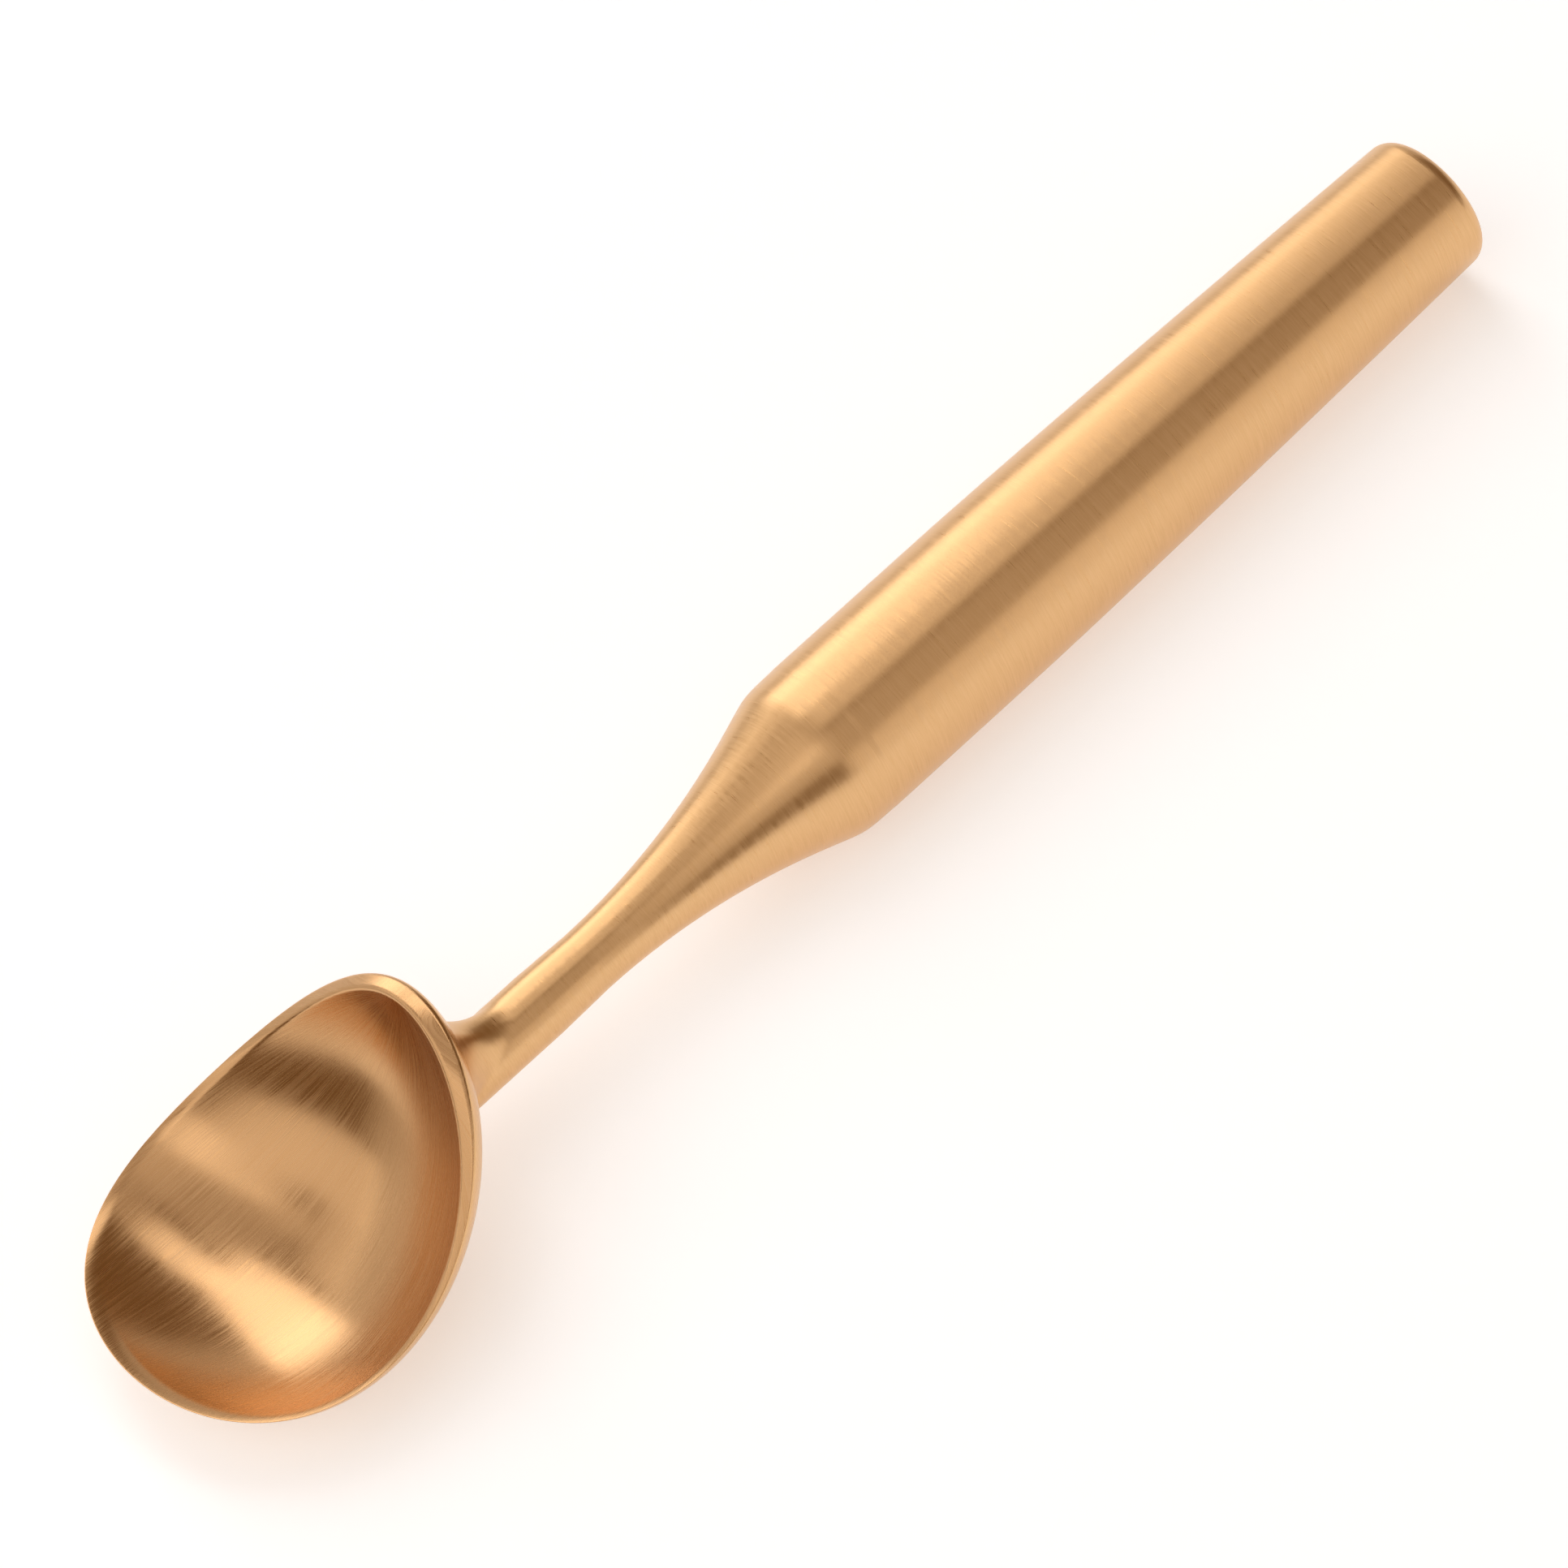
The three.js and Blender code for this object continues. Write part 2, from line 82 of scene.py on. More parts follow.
def brushed_gold(name, light, deep, stroke_width, stroke_length, roughness):
    """Brushed metal. Strokes run along V of the UV map, which is in metres, and are thin along U."""
    material = bpy.data.materials.new(name)
    material.use_nodes = True
    nodes = material.node_tree.nodes
    links = material.node_tree.links
    shader = nodes["Principled BSDF"]
    shader.inputs["Metallic"].default_value = 1.0
    shader.inputs["Anisotropic"].default_value = BRUSH_ANISOTROPY
    place = nodes.new("ShaderNodeUVMap")
    place.uv_map = "UVMap"
    tangent = nodes.new("ShaderNodeTangent")
    tangent.direction_type = "UV_MAP"
    tangent.uv_map = "UVMap"
    links.new(tangent.outputs["Tangent"], shader.inputs["Tangent"])

    fine = nodes.new("ShaderNodeMapping")
    fine.inputs["Scale"].default_value = (1.0 / stroke_width, 1.0 / stroke_length, 1.0)
    links.new(place.outputs["UV"], fine.inputs["Vector"])
    strokes = nodes.new("ShaderNodeTexNoise")
    strokes.inputs["Scale"].default_value = 1.0
    strokes.inputs["Detail"].default_value = STROKE_DETAIL
    strokes.inputs["Roughness"].default_value = STROKE_JAGGEDNESS
    links.new(fine.outputs["Vector"], strokes.inputs["Vector"])

    coarse = nodes.new("ShaderNodeMapping")
    scale_across = SCRATCH_SCALE_ACROSS / stroke_width
    scale_along = SCRATCH_SCALE_ALONG / stroke_length
    coarse.inputs["Scale"].default_value = (scale_across, scale_along, 1.0)
    coarse.inputs["Location"].default_value = SCRATCH_SHIFT
    links.new(place.outputs["UV"], coarse.inputs["Vector"])
    scratches = nodes.new("ShaderNodeTexNoise")
    scratches.inputs["Scale"].default_value = 1.0
    scratches.inputs["Detail"].default_value = SCRATCH_DETAIL
    scratches.inputs["Roughness"].default_value = SCRATCH_JAGGEDNESS
    links.new(coarse.outputs["Vector"], scratches.inputs["Vector"])

    both = nodes.new("ShaderNodeMath")
    both.operation = "MULTIPLY_ADD"
    both.inputs[1].default_value = SCRATCH_WEIGHT
    links.new(scratches.outputs["Fac"], both.inputs[0])
    links.new(strokes.outputs["Fac"], both.inputs[2])

    rough = nodes.new("ShaderNodeMapRange")
    rough.inputs["From Min"].default_value = GRAIN_LOW
    rough.inputs["From Max"].default_value = GRAIN_HIGH
    rough.inputs["To Min"].default_value = roughness - ROUGHNESS_SPREAD
    rough.inputs["To Max"].default_value = roughness + ROUGHNESS_SPREAD
    links.new(both.outputs["Value"], rough.inputs["Value"])
    links.new(rough.outputs["Result"], shader.inputs["Roughness"])

    tone = nodes.new("ShaderNodeMapRange")
    tone.inputs["From Min"].default_value = GRAIN_LOW
    tone.inputs["From Max"].default_value = GRAIN_HIGH
    links.new(both.outputs["Value"], tone.inputs["Value"])
    colour = nodes.new("ShaderNodeMix")
    colour.data_type = "RGBA"
    colour.inputs["A"].default_value = deep
    colour.inputs["B"].default_value = light
    links.new(tone.outputs["Result"], colour.inputs["Factor"])
    links.new(colour.outputs["Result"], shader.inputs["Base Color"])

    bump = nodes.new("ShaderNodeBump")
    bump.inputs["Strength"].default_value = BUMP_STRENGTH
    bump.inputs["Distance"].default_value = BUMP_DEPTH
    links.new(both.outputs["Value"], bump.inputs["Height"])
    links.new(bump.outputs["Normal"], shader.inputs["Normal"])
    return material


round_brushed = brushed_gold(
    "round_brushed_gold", GOLD, GOLD_DEEP, HANDLE_STROKE_WIDTH, HANDLE_STROKE_LENGTH, HANDLE_ROUGHNESS
)

tube_tree = bpy.data.node_groups.new("tapered_handle_tube", "GeometryNodeTree")
tube_tree.interface.new_socket("Geometry", in_out="OUTPUT", socket_type="NodeSocketGeometry")
tube_sizes = {
    "Rear end": REAR_END_X,
    "Axis height": AXIS_HEIGHT,
    "Rear station": TUBE_START,
    "Front station": TUBE_END,
    "Radius": HANDLE_RADIUS,
    "Rear radius": HANDLE_REAR_RADIUS,
    "Taper length": HANDLE_TAPER_LENGTH,
    "Taper power": HANDLE_TAPER_POWER,
}
for label in tube_sizes:
    tube_tree.interface.new_socket(label, in_out="INPUT", socket_type="NodeSocketFloat")
tube_tree.interface.new_socket("Finish", in_out="INPUT", socket_type="NodeSocketMaterial")
tube_in = tube_tree.nodes.new("NodeGroupInput")
tube_out = tube_tree.nodes.new("NodeGroupOutput")


def tube_math(operation, first, second=None, third=None):
    node = tube_tree.nodes.new("ShaderNodeMath")
    node.operation = operation
    for slot, value in enumerate((first, second, third)):
        if value is None:
            continue
        if isinstance(value, (int, float)):
            node.inputs[slot].default_value = value
        else:
            tube_tree.links.new(value, node.inputs[slot])
    return node.outputs["Value"]


def tube_vector(x, y, z):
    node = tube_tree.nodes.new("ShaderNodeCombineXYZ")
    for slot, value in enumerate((x, y, z)):
        if value is not None:
            tube_tree.links.new(value, node.inputs[slot])
    return node.outputs["Vector"]


sheet = tube_tree.nodes.new("GeometryNodeMeshGrid")
sheet.inputs["Size X"].default_value = 1.0
sheet.inputs["Size Y"].default_value = 1.0
sheet.inputs["Vertices X"].default_value = TUBE_STEPS + 1
sheet.inputs["Vertices Y"].default_value = TURN_STEPS + 1
where = tube_tree.nodes.new("GeometryNodeInputPosition")
parts = tube_tree.nodes.new("ShaderNodeSeparateXYZ")
tube_tree.links.new(where.outputs["Position"], parts.inputs["Vector"])
share_along = tube_math("ADD", parts.outputs["X"], 0.5)
share_round = tube_math("ADD", parts.outputs["Y"], 0.5)
run = tube_math("SUBTRACT", tube_in.outputs["Front station"], tube_in.outputs["Rear station"])
station = tube_math("MULTIPLY_ADD", run, share_along, tube_in.outputs["Rear station"])
to_go = tube_math("SUBTRACT", tube_in.outputs["Taper length"], station)
left = tube_math("MAXIMUM", tube_math("DIVIDE", to_go, tube_in.outputs["Taper length"]), 0.0)
drop = tube_math("SUBTRACT", tube_in.outputs["Radius"], tube_in.outputs["Rear radius"])
lost = tube_math("MULTIPLY", drop, tube_math("POWER", left, tube_in.outputs["Taper power"]))
radius = tube_math("SUBTRACT", tube_in.outputs["Radius"], lost)
turn = tube_math("MULTIPLY", share_round, 2.0 * math.pi)
place_x = tube_math("ADD", station, tube_in.outputs["Rear end"])
place_y = tube_math("MULTIPLY", radius, tube_math("SINE", turn))
place_z = tube_math("MULTIPLY_ADD", radius, tube_math("COSINE", turn), tube_in.outputs["Axis height"])
unrolled = tube_vector(station, tube_math("MULTIPLY", turn, tube_in.outputs["Radius"]), None)
keep_uv = tube_tree.nodes.new("GeometryNodeStoreNamedAttribute")
keep_uv.data_type = "FLOAT2"
keep_uv.domain = "CORNER"
keep_uv.inputs["Name"].default_value = "UVMap"
tube_tree.links.new(sheet.outputs["Mesh"], keep_uv.inputs["Geometry"])
tube_tree.links.new(unrolled, keep_uv.inputs["Value"])
roll = tube_tree.nodes.new("GeometryNodeSetPosition")
tube_tree.links.new(keep_uv.outputs["Geometry"], roll.inputs["Geometry"])
tube_tree.links.new(tube_vector(place_x, place_y, place_z), roll.inputs["Position"])
close = tube_tree.nodes.new("GeometryNodeMergeByDistance")
close.inputs["Distance"].default_value = JOIN_DISTANCE
tube_tree.links.new(roll.outputs["Geometry"], close.inputs["Geometry"])
whole = tube_tree.nodes.new("GeometryNodeRealizeInstances")
tube_tree.links.new(close.outputs["Geometry"], whole.inputs["Geometry"])
dress = tube_tree.nodes.new("GeometryNodeSetMaterial")
tube_tree.links.new(whole.outputs["Geometry"], dress.inputs["Geometry"])
tube_tree.links.new(tube_in.outputs["Finish"], dress.inputs["Material"])
tube_tree.links.new(dress.outputs["Geometry"], tube_out.inputs["Geometry"])

tube = bpy.data.objects.new("handle", bpy.data.meshes.new("handle"))
bpy.context.scene.collection.objects.link(tube)
tube_rule = tube.modifiers.new("tapered tube", "NODES")
tube_rule.node_group = tube_tree
for item in tube_tree.interface.items_tree:
    if item.in_out == "INPUT" and item.name in tube_sizes:
        tube_rule[item.identifier] = tube_sizes[item.name]
    if item.in_out == "INPUT" and item.name == "Finish":
        tube_rule[item.identifier] = round_brushed
tube_wall = tube.modifiers.new("wall", "SOLIDIFY")
tube_wall.thickness = TUBE_WALL
tube_wall.offset = -1.0
ready = tube.evaluated_get(bpy.context.evaluated_depsgraph_get())
tube_mesh = bpy.data.meshes.new_from_object(ready)
tube.modifiers.clear()
tube.data = tube_mesh
tube_mesh.shade_smooth()
tube_mesh.set_sharp_from_angle(angle=SHARP_EDGE)
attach(tube, "root")
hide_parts("handle_tube")


# End cap
# The rear end of the handle: a pressed cap with a flat face and a rounded edge.
# Its skirt slides into the tube, and its seam is filled and brushed over.
CAP_SEAM = 0.006
CAP_EDGE_ROUND = 0.002
CAP_FACE_WALL = 0.002
CAP_SKIRT_END = 0.0128
CAP_SKIRT_WALL = 0.0012
SPIGOT_CLEARANCE = 0.00015
CAP_FACE_STEPS = 9
CAP_EDGE_STEPS = 24
CAP_SIDE_STEPS = 8
ON_AXIS = 0.0000001


def turned_piece(name, profile, material):
    """Piece turned about the handle axis from a closed profile of (station, radius) points."""
    mesh = bpy.data.meshes.new(name)
    build = bmesh.new()
    uv_layer = build.loops.layers.uv.new("UVMap")
    rings = []
    for x, r in profile:
        if r < ON_AXIS:
            rings.append([build.verts.new((REAR_END_X + x, 0.0, AXIS_HEIGHT))])
            continue
        ring = []
        for k in range(TURN_STEPS):
            angle = 2.0 * math.pi * k / TURN_STEPS
            y = r * math.sin(angle)
            z = AXIS_HEIGHT + r * math.cos(angle)
            ring.append(build.verts.new((REAR_END_X + x, y, z)))
        rings.append(ring)
    arc = profile[0][0]
    for row in range(len(profile)):
        here, there = rings[row], rings[(row + 1) % len(rings)]
        (x0, r0), (x1, r1) = profile[row], profile[(row + 1) % len(profile)]
        step = math.hypot(x1 - x0, r1 - r0)
        if len(here) == 1 and len(there) == 1:
            continue
        for k in range(TURN_STEPS):
            nxt = (k + 1) % TURN_STEPS
            if len(here) == 1:
                corners = [(here[0], 0, k), (there[nxt], 1, k + 1), (there[k], 1, k)]
            elif len(there) == 1:
                corners = [(here[k], 0, k), (here[nxt], 0, k + 1), (there[0], 1, k)]
            else:
                corners = [(here[k], 0, k), (here[nxt], 0, k + 1), (there[nxt], 1, k + 1), (there[k], 1, k)]
            face = build.faces.new([corner[0] for corner in corners])
            for loop, (_, side, count) in zip(face.loops, corners):
                turn_length = 2.0 * math.pi * HANDLE_RADIUS * count / TURN_STEPS
                loop[uv_layer].uv = (arc + step * side, turn_length)
        arc += step
    bmesh.ops.recalc_face_normals(build, faces=build.faces)
    build.to_mesh(mesh)
    build.free()
    mesh.materials.append(material)
    mesh.shade_smooth()
    mesh.set_sharp_from_angle(angle=SHARP_EDGE)
    piece = bpy.data.objects.new(name, mesh)
    bpy.context.scene.collection.objects.link(piece)
    return piece


skirt_radius = handle_radius(TUBE_START) - TUBE_WALL - SPIGOT_CLEARANCE
cap_radius = handle_radius(CAP_EDGE_ROUND)
cap_profile = [(0.0, 0.0)]
for i in range(1, CAP_FACE_STEPS):
    cap_profile.append((0.0, (cap_radius - CAP_EDGE_ROUND) * i / CAP_FACE_STEPS))
for i in range(CAP_EDGE_STEPS + 1):
    bend = math.pi / 2.0 * i / CAP_EDGE_STEPS
    edge = cap_radius - CAP_EDGE_ROUND * (1.0 - math.sin(bend))
    cap_profile.append((CAP_EDGE_ROUND * (1.0 - math.cos(bend)), edge))
for i in range(1, CAP_SIDE_STEPS + 1):
    x = CAP_EDGE_ROUND + (CAP_SEAM - CAP_EDGE_ROUND) * i / CAP_SIDE_STEPS
    cap_profile.append((x, handle_radius(x)))
cap_profile.append((CAP_SEAM, skirt_radius))
cap_profile.append((CAP_SKIRT_END, skirt_radius))
cap_profile.append((CAP_SKIRT_END, skirt_radius - CAP_SKIRT_WALL))
cap_profile.append((CAP_FACE_WALL, skirt_radius - CAP_SKIRT_WALL))
cap_profile.append((CAP_FACE_WALL, 0.0))
end_cap = turned_piece("handle_end", cap_profile, round_brushed)
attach(end_cap, "root")
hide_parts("end_cap")


# Cap seam
# Filler metal of the same colour in the joint between the cap and the tube.
# It is ground flush and brushed with the tube, so that no joint shows.
cap_ring = turned_piece(
    "cap_seam",
    [
        (CAP_SEAM, skirt_radius + SPIGOT_CLEARANCE),
        (CAP_SEAM, handle_radius(CAP_SEAM)),
        (TUBE_START, handle_radius(TUBE_START)),
        (TUBE_START, skirt_radius + SPIGOT_CLEARANCE),
    ],
    round_brushed,
)
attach(cap_ring, "root")
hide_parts("cap_weld")


# Neck
# A turned piece, bored out at its rear: a soft shoulder, a long hollow sweep and a slim shank to the bowl.
# A spigot at each end is welded into the tube and into the bowl's socket.
NECK_START = 0.10015
NECK_SLIM = 0.13935
NECK_END = 0.14655
NECK_SLIM_RADIUS = 0.0039
NECK_END_RADIUS = 0.0041
NECK_ARC_RADIUS = 0.0965
SHOULDER_SOFTNESS = 0.00055
NECK_REAR = 0.08935
NECK_TIP = 0.15535
NECK_RELIEF_RADIUS = 0.0055
NECK_RELIEF_DEPTH = 0.018
FRONT_SPIGOT_RADIUS = 0.0026
NECK_STEPS = 96


def neck_radius(station):
    if station > NECK_SLIM:
        share = (station - NECK_SLIM) / (NECK_END - NECK_SLIM)
        return NECK_SLIM_RADIUS + (NECK_END_RADIUS - NECK_SLIM_RADIUS) * share
    back = NECK_SLIM - station
    arc = NECK_SLIM_RADIUS + NECK_ARC_RADIUS - math.sqrt(NECK_ARC_RADIUS**2 - back**2)
    return (HANDLE_RADIUS + arc - math.hypot(HANDLE_RADIUS - arc, SHOULDER_SOFTNESS)) / 2.0


rear_spigot_radius = HANDLE_RADIUS - TUBE_WALL - SPIGOT_CLEARANCE
neck_profile = [
    (NECK_REAR, NECK_RELIEF_RADIUS),
    (NECK_REAR, rear_spigot_radius),
    (NECK_START, rear_spigot_radius),
]
for i in range(NECK_STEPS + 1):
    x = NECK_START + (NECK_END - NECK_START) * i / NECK_STEPS
    neck_profile.append((x, neck_radius(x)))
neck_profile.append((NECK_END, FRONT_SPIGOT_RADIUS))
neck_profile.append((NECK_TIP, FRONT_SPIGOT_RADIUS))
neck_profile.append((NECK_TIP, 0.0))
neck_profile.append((NECK_REAR + NECK_RELIEF_DEPTH, 0.0))
neck_profile.append((NECK_REAR + NECK_RELIEF_DEPTH, NECK_RELIEF_RADIUS))
neck = turned_piece("turned_neck", neck_profile, round_brushed)
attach(neck, "root")
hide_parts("neck")


# Shoulder seam
# Filler metal between the tube and the neck's shoulder, round the neck's rear spigot.
# It is ground flush and brushed over like the cap's seam.
shoulder_ring = turned_piece(
    "shoulder_seam",
    [
        (TUBE_END, rear_spigot_radius + SPIGOT_CLEARANCE),
        (TUBE_END, handle_radius(TUBE_END)),
        (NECK_START, neck_radius(NECK_START)),
        (NECK_START, rear_spigot_radius + SPIGOT_CLEARANCE),
    ],
    round_brushed,
)
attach(shoulder_ring, "root")
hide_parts("shoulder_weld")


# Bowl seam
# Filler metal between the neck and the bowl's socket, round the neck's front spigot.
# It is ground flush with the neck.
SOCKET_START = 0.14735
bowl_ring = turned_piece(
    "bowl_seam",
    [
        (NECK_END, FRONT_SPIGOT_RADIUS + SPIGOT_CLEARANCE),
        (NECK_END, NECK_END_RADIUS),
        (SOCKET_START, NECK_END_RADIUS),
        (SOCKET_START, FRONT_SPIGOT_RADIUS + SPIGOT_CLEARANCE),
    ],
    round_brushed,
)
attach(bowl_ring, "root")
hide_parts("bowl_weld")


# Bowl
# A casting in the same metal: a nearly spherical shell whose rim sweeps up from the lip to the heel,
# with a filleted socket for the neck at its back. The shell is brushed from heel to lip, the socket round
# and round, and the rim's edges are eased. The inside and the rim are painted a deeper gold than the
# outside, as painted shade of the hollow and its reflections of itself.
BOWL_RADIUS = 0.0295
BOWL_WALL = 0.002
BOWL_CENTRE_X = 0.1896
BOWL_CENTRE_Z = BOWL_RADIUS - HANDLE_RADIUS
BOWL_CENTRE = Vector((BOWL_CENTRE_X, 0.0, BOWL_CENTRE_Z))
HEEL_SWELL = 0.00165
LIP_SWELL = 0.0004
SWELL_SCALE = 27.0 / 4.0
RIM_BEHIND_CENTRE = 0.00615
RIM_CENTRE_X = BOWL_CENTRE_X - RIM_BEHIND_CENTRE
RIM_HALF_LENGTH = 0.02475
RIM_HALF_WIDTH = 0.0233
RIM_BLUNTNESS = 0.00086
RIM_EGG = 0.002
RIM_FULLNESS = 0.00044
LIP_HEIGHT = -0.0019
SIDE_HEIGHT = 0.0015
HEEL_HEIGHT = 0.01785
HEEL_SWEEP = 0.00047
HEEL_THICKNESS = 0.0024
SIDE_THICKNESS = 0.001
LIP_THICKNESS = 0.00145
LIP_FALL = 0.00045
HEEL_EASE_INSIDE = 0.0006
SIDE_EASE_INSIDE = 0.00045
LIP_EASE_INSIDE = 0.0009
HEEL_EASE_OUTSIDE = 0.0006
SIDE_EASE_OUTSIDE = 0.0002
LIP_EASE_OUTSIDE = 0.0002
RIM_PROBE = 0.001
RIM_STEPS = 240
WALL_STEPS = 56
EASE_STEPS = 8
SOCKET_FILLET = 0.009
SOCKET_STEPS = 12
FILLET_STEPS = 32
FOOT_STEPS = 8
CUT_STEPS = 40
CUT_ROUNDS = 4
RIM_HALVINGS = 24
BALL_HALVINGS = 30
BALL_RUN_UP = 3.0 * SOCKET_FILLET
BOWL_SHARP_EDGE = math.radians(50.0)
BOWL_STROKE_WIDTH = 0.0002
BOWL_STROKE_LENGTH = 0.008
BOWL_ROUGHNESS = 0.26
# Painted shade: the inside's gold is a darker, more orange copy of the outside's gold, for the shade and
# inter-reflections in the hollow.
INSIDE_PAINTED_SHADE_GOLD = (0.715, 0.437, 0.221, 1.0)
INSIDE_PAINTED_SHADE_GOLD_DEEP = (0.615, 0.355, 0.16, 1.0)
INSIDE_PAINTED_SHADE_FINISH = 0
OUTSIDE_FINISH = 1
SOCKET_FINISH = 2
RIM_END_ROW = WALL_STEPS + EASE_STEPS + EASE_STEPS // 2


def round_the_rim(heel, side, lip, angle):
    """Smooth change of a size from the lip, at angle 0, past the sides to the heel."""
    ends = (lip + heel) / 2.0
    even = (ends + side) / 2.0 + (ends - side) / 2.0 * math.cos(2.0 * angle)
    return even + (lip - heel) / 2.0 * math.cos(angle)


def rim_outer(angle):
    middle = (LIP_HEIGHT + HEEL_HEIGHT) / 2.0
    rise = (LIP_HEIGHT - HEEL_HEIGHT) / 2.0
    x = RIM_CENTRE_X + RIM_HALF_LENGTH * math.cos(angle) + RIM_BLUNTNESS * math.cos(2.0 * angle)
    y = RIM_HALF_WIDTH * math.sin(angle) + RIM_EGG * math.sin(2.0 * angle)
    y += RIM_FULLNESS * math.sin(3.0 * angle)
    z = (middle + SIDE_HEIGHT) / 2.0 + (middle - SIDE_HEIGHT) / 2.0 * math.cos(2.0 * angle)
    z += (rise + HEEL_SWEEP) * math.cos(angle) - HEEL_SWEEP * math.cos(3.0 * angle)
    return Vector((x, y, z))


def rim_inner(angle):
    run = rim_outer(angle + RIM_PROBE) - rim_outer(angle - RIM_PROBE)
    inwards = Vector((-run.y, run.x, 0.0)).normalized()
    thickness = round_the_rim(HEEL_THICKNESS, SIDE_THICKNESS, LIP_THICKNESS, angle)
    fall = LIP_FALL * (1.0 + math.cos(angle)) / 2.0
    return rim_outer(angle) + inwards * thickness - Vector((0.0, 0.0, fall))


def swell_at(angle):
    return LIP_SWELL + (HEEL_SWELL - LIP_SWELL) * (1.0 - math.cos(angle)) / 2.0


def from_centre(rim):
    """A rim point seen from the bowl's centre: its turn, its angle from straight down, its distance."""
    out = math.hypot(rim.x - BOWL_CENTRE_X, rim.y)
    turn_to = math.atan2(rim.y, rim.x - BOWL_CENTRE_X)
    return turn_to, math.atan2(out, BOWL_CENTRE_Z - rim.z), math.hypot(out, BOWL_CENTRE_Z - rim.z)


def surface_radius(pole_radius, rim_radius, swell, share):
    """Distance from the bowl's centre. The swell has its full size below the rim and ends at the rim."""
    plain = pole_radius + (rim_radius - pole_radius) * share**2
    return plain + swell * SWELL_SCALE * share**4 * (1.0 - share**2)


def bowl_point(rim, swell, pole_radius, share):
    turn_to, down, rim_radius = from_centre(rim)
    reach = surface_radius(pole_radius, rim_radius, swell, share)
    level = reach * math.sin(down * share)
    depth = reach * math.cos(down * share)
    x = BOWL_CENTRE_X + level * math.cos(turn_to)
    return Vector((x, level * math.sin(turn_to), BOWL_CENTRE_Z - depth))


def eased(before, corner, after):
    points = []
    for i in range(EASE_STEPS + 1):
        s = i / EASE_STEPS
        points.append(before * (1.0 - s) ** 2 + corner * 2.0 * s * (1.0 - s) + after * s**2)
    return points


def bowl_section(angle):
    """Line from the middle of the inside, up over the rim and down to the middle of the outside."""
    inner_edge = rim_inner(angle)
    outer_edge = rim_outer(angle)
    across = (outer_edge - inner_edge).normalized()
    ease_inside = round_the_rim(HEEL_EASE_INSIDE, SIDE_EASE_INSIDE, LIP_EASE_INSIDE, angle)
    ease_outside = round_the_rim(HEEL_EASE_OUTSIDE, SIDE_EASE_OUTSIDE, LIP_EASE_OUTSIDE, angle)
    inner_pole = BOWL_RADIUS - BOWL_WALL
    inner_run = (inner_edge - Vector((BOWL_CENTRE_X, 0.0, BOWL_CENTRE_Z - inner_pole))).length
    top_share = 1.0 - ease_inside / inner_run
    line = []
    for i in range(1, WALL_STEPS):
        line.append(bowl_point(inner_edge, 0.0, inner_pole, top_share * i / WALL_STEPS))
    start = bowl_point(inner_edge, 0.0, inner_pole, top_share)
    line += eased(start, inner_edge, inner_edge + across * ease_inside)
    swell = swell_at(angle)
    outer_run = (outer_edge - Vector((BOWL_CENTRE_X, 0.0, BOWL_CENTRE_Z - BOWL_RADIUS))).length
    low_share = 1.0 - ease_outside / outer_run
    end = bowl_point(outer_edge, swell, BOWL_RADIUS, low_share)
    line += eased(outer_edge - across * ease_outside, outer_edge, end)
    for i in range(WALL_STEPS - 1, 0, -1):
        line.append(bowl_point(outer_edge, swell, BOWL_RADIUS, low_share * i / WALL_STEPS))
    return line


def wall_radius(point):
    """Distance of the outer wall from the bowl's centre in the direction of a point."""
    turn_to = abs(math.atan2(point.y, point.x - BOWL_CENTRE_X))
    low, high = 0.0, math.pi
    for _ in range(RIM_HALVINGS):
        middle = (low + high) / 2.0
        if from_centre(rim_outer(middle))[0] < turn_to:
            low = middle
        else:
            high = middle
    _, rim_down, rim_radius = from_centre(rim_outer(low))
    down = math.atan2(math.hypot(point.x - BOWL_CENTRE_X, point.y), BOWL_CENTRE_Z - point.z)
    return surface_radius(BOWL_RADIUS, rim_radius, swell_at(low), down / rim_down)


def inside_wall(direction):
    """Point half way through the wall, in a direction from the bowl's centre."""
    return BOWL_CENTRE + direction * (wall_radius(BOWL_CENTRE + direction) - BOWL_WALL / 2.0)


def wall_cut(turn_to, lift):
    """Point of the wall behind the bowl, as station and height, in a plane through the handle axis."""
    middle_height = BOWL_CENTRE_Z * math.cos(turn_to)
    aside = BOWL_CENTRE_Z * math.sin(turn_to)
    reach = math.sqrt(BOWL_RADIUS**2 - aside**2)
    for _ in range(CUT_ROUNDS):
        x = BOWL_CENTRE_X - reach * math.cos(lift)
        height = middle_height + reach * math.sin(lift)
        point = Vector((x, height * math.sin(turn_to), height * math.cos(turn_to)))
        reach = math.sqrt(wall_radius(point) ** 2 - aside**2)
    return x, height


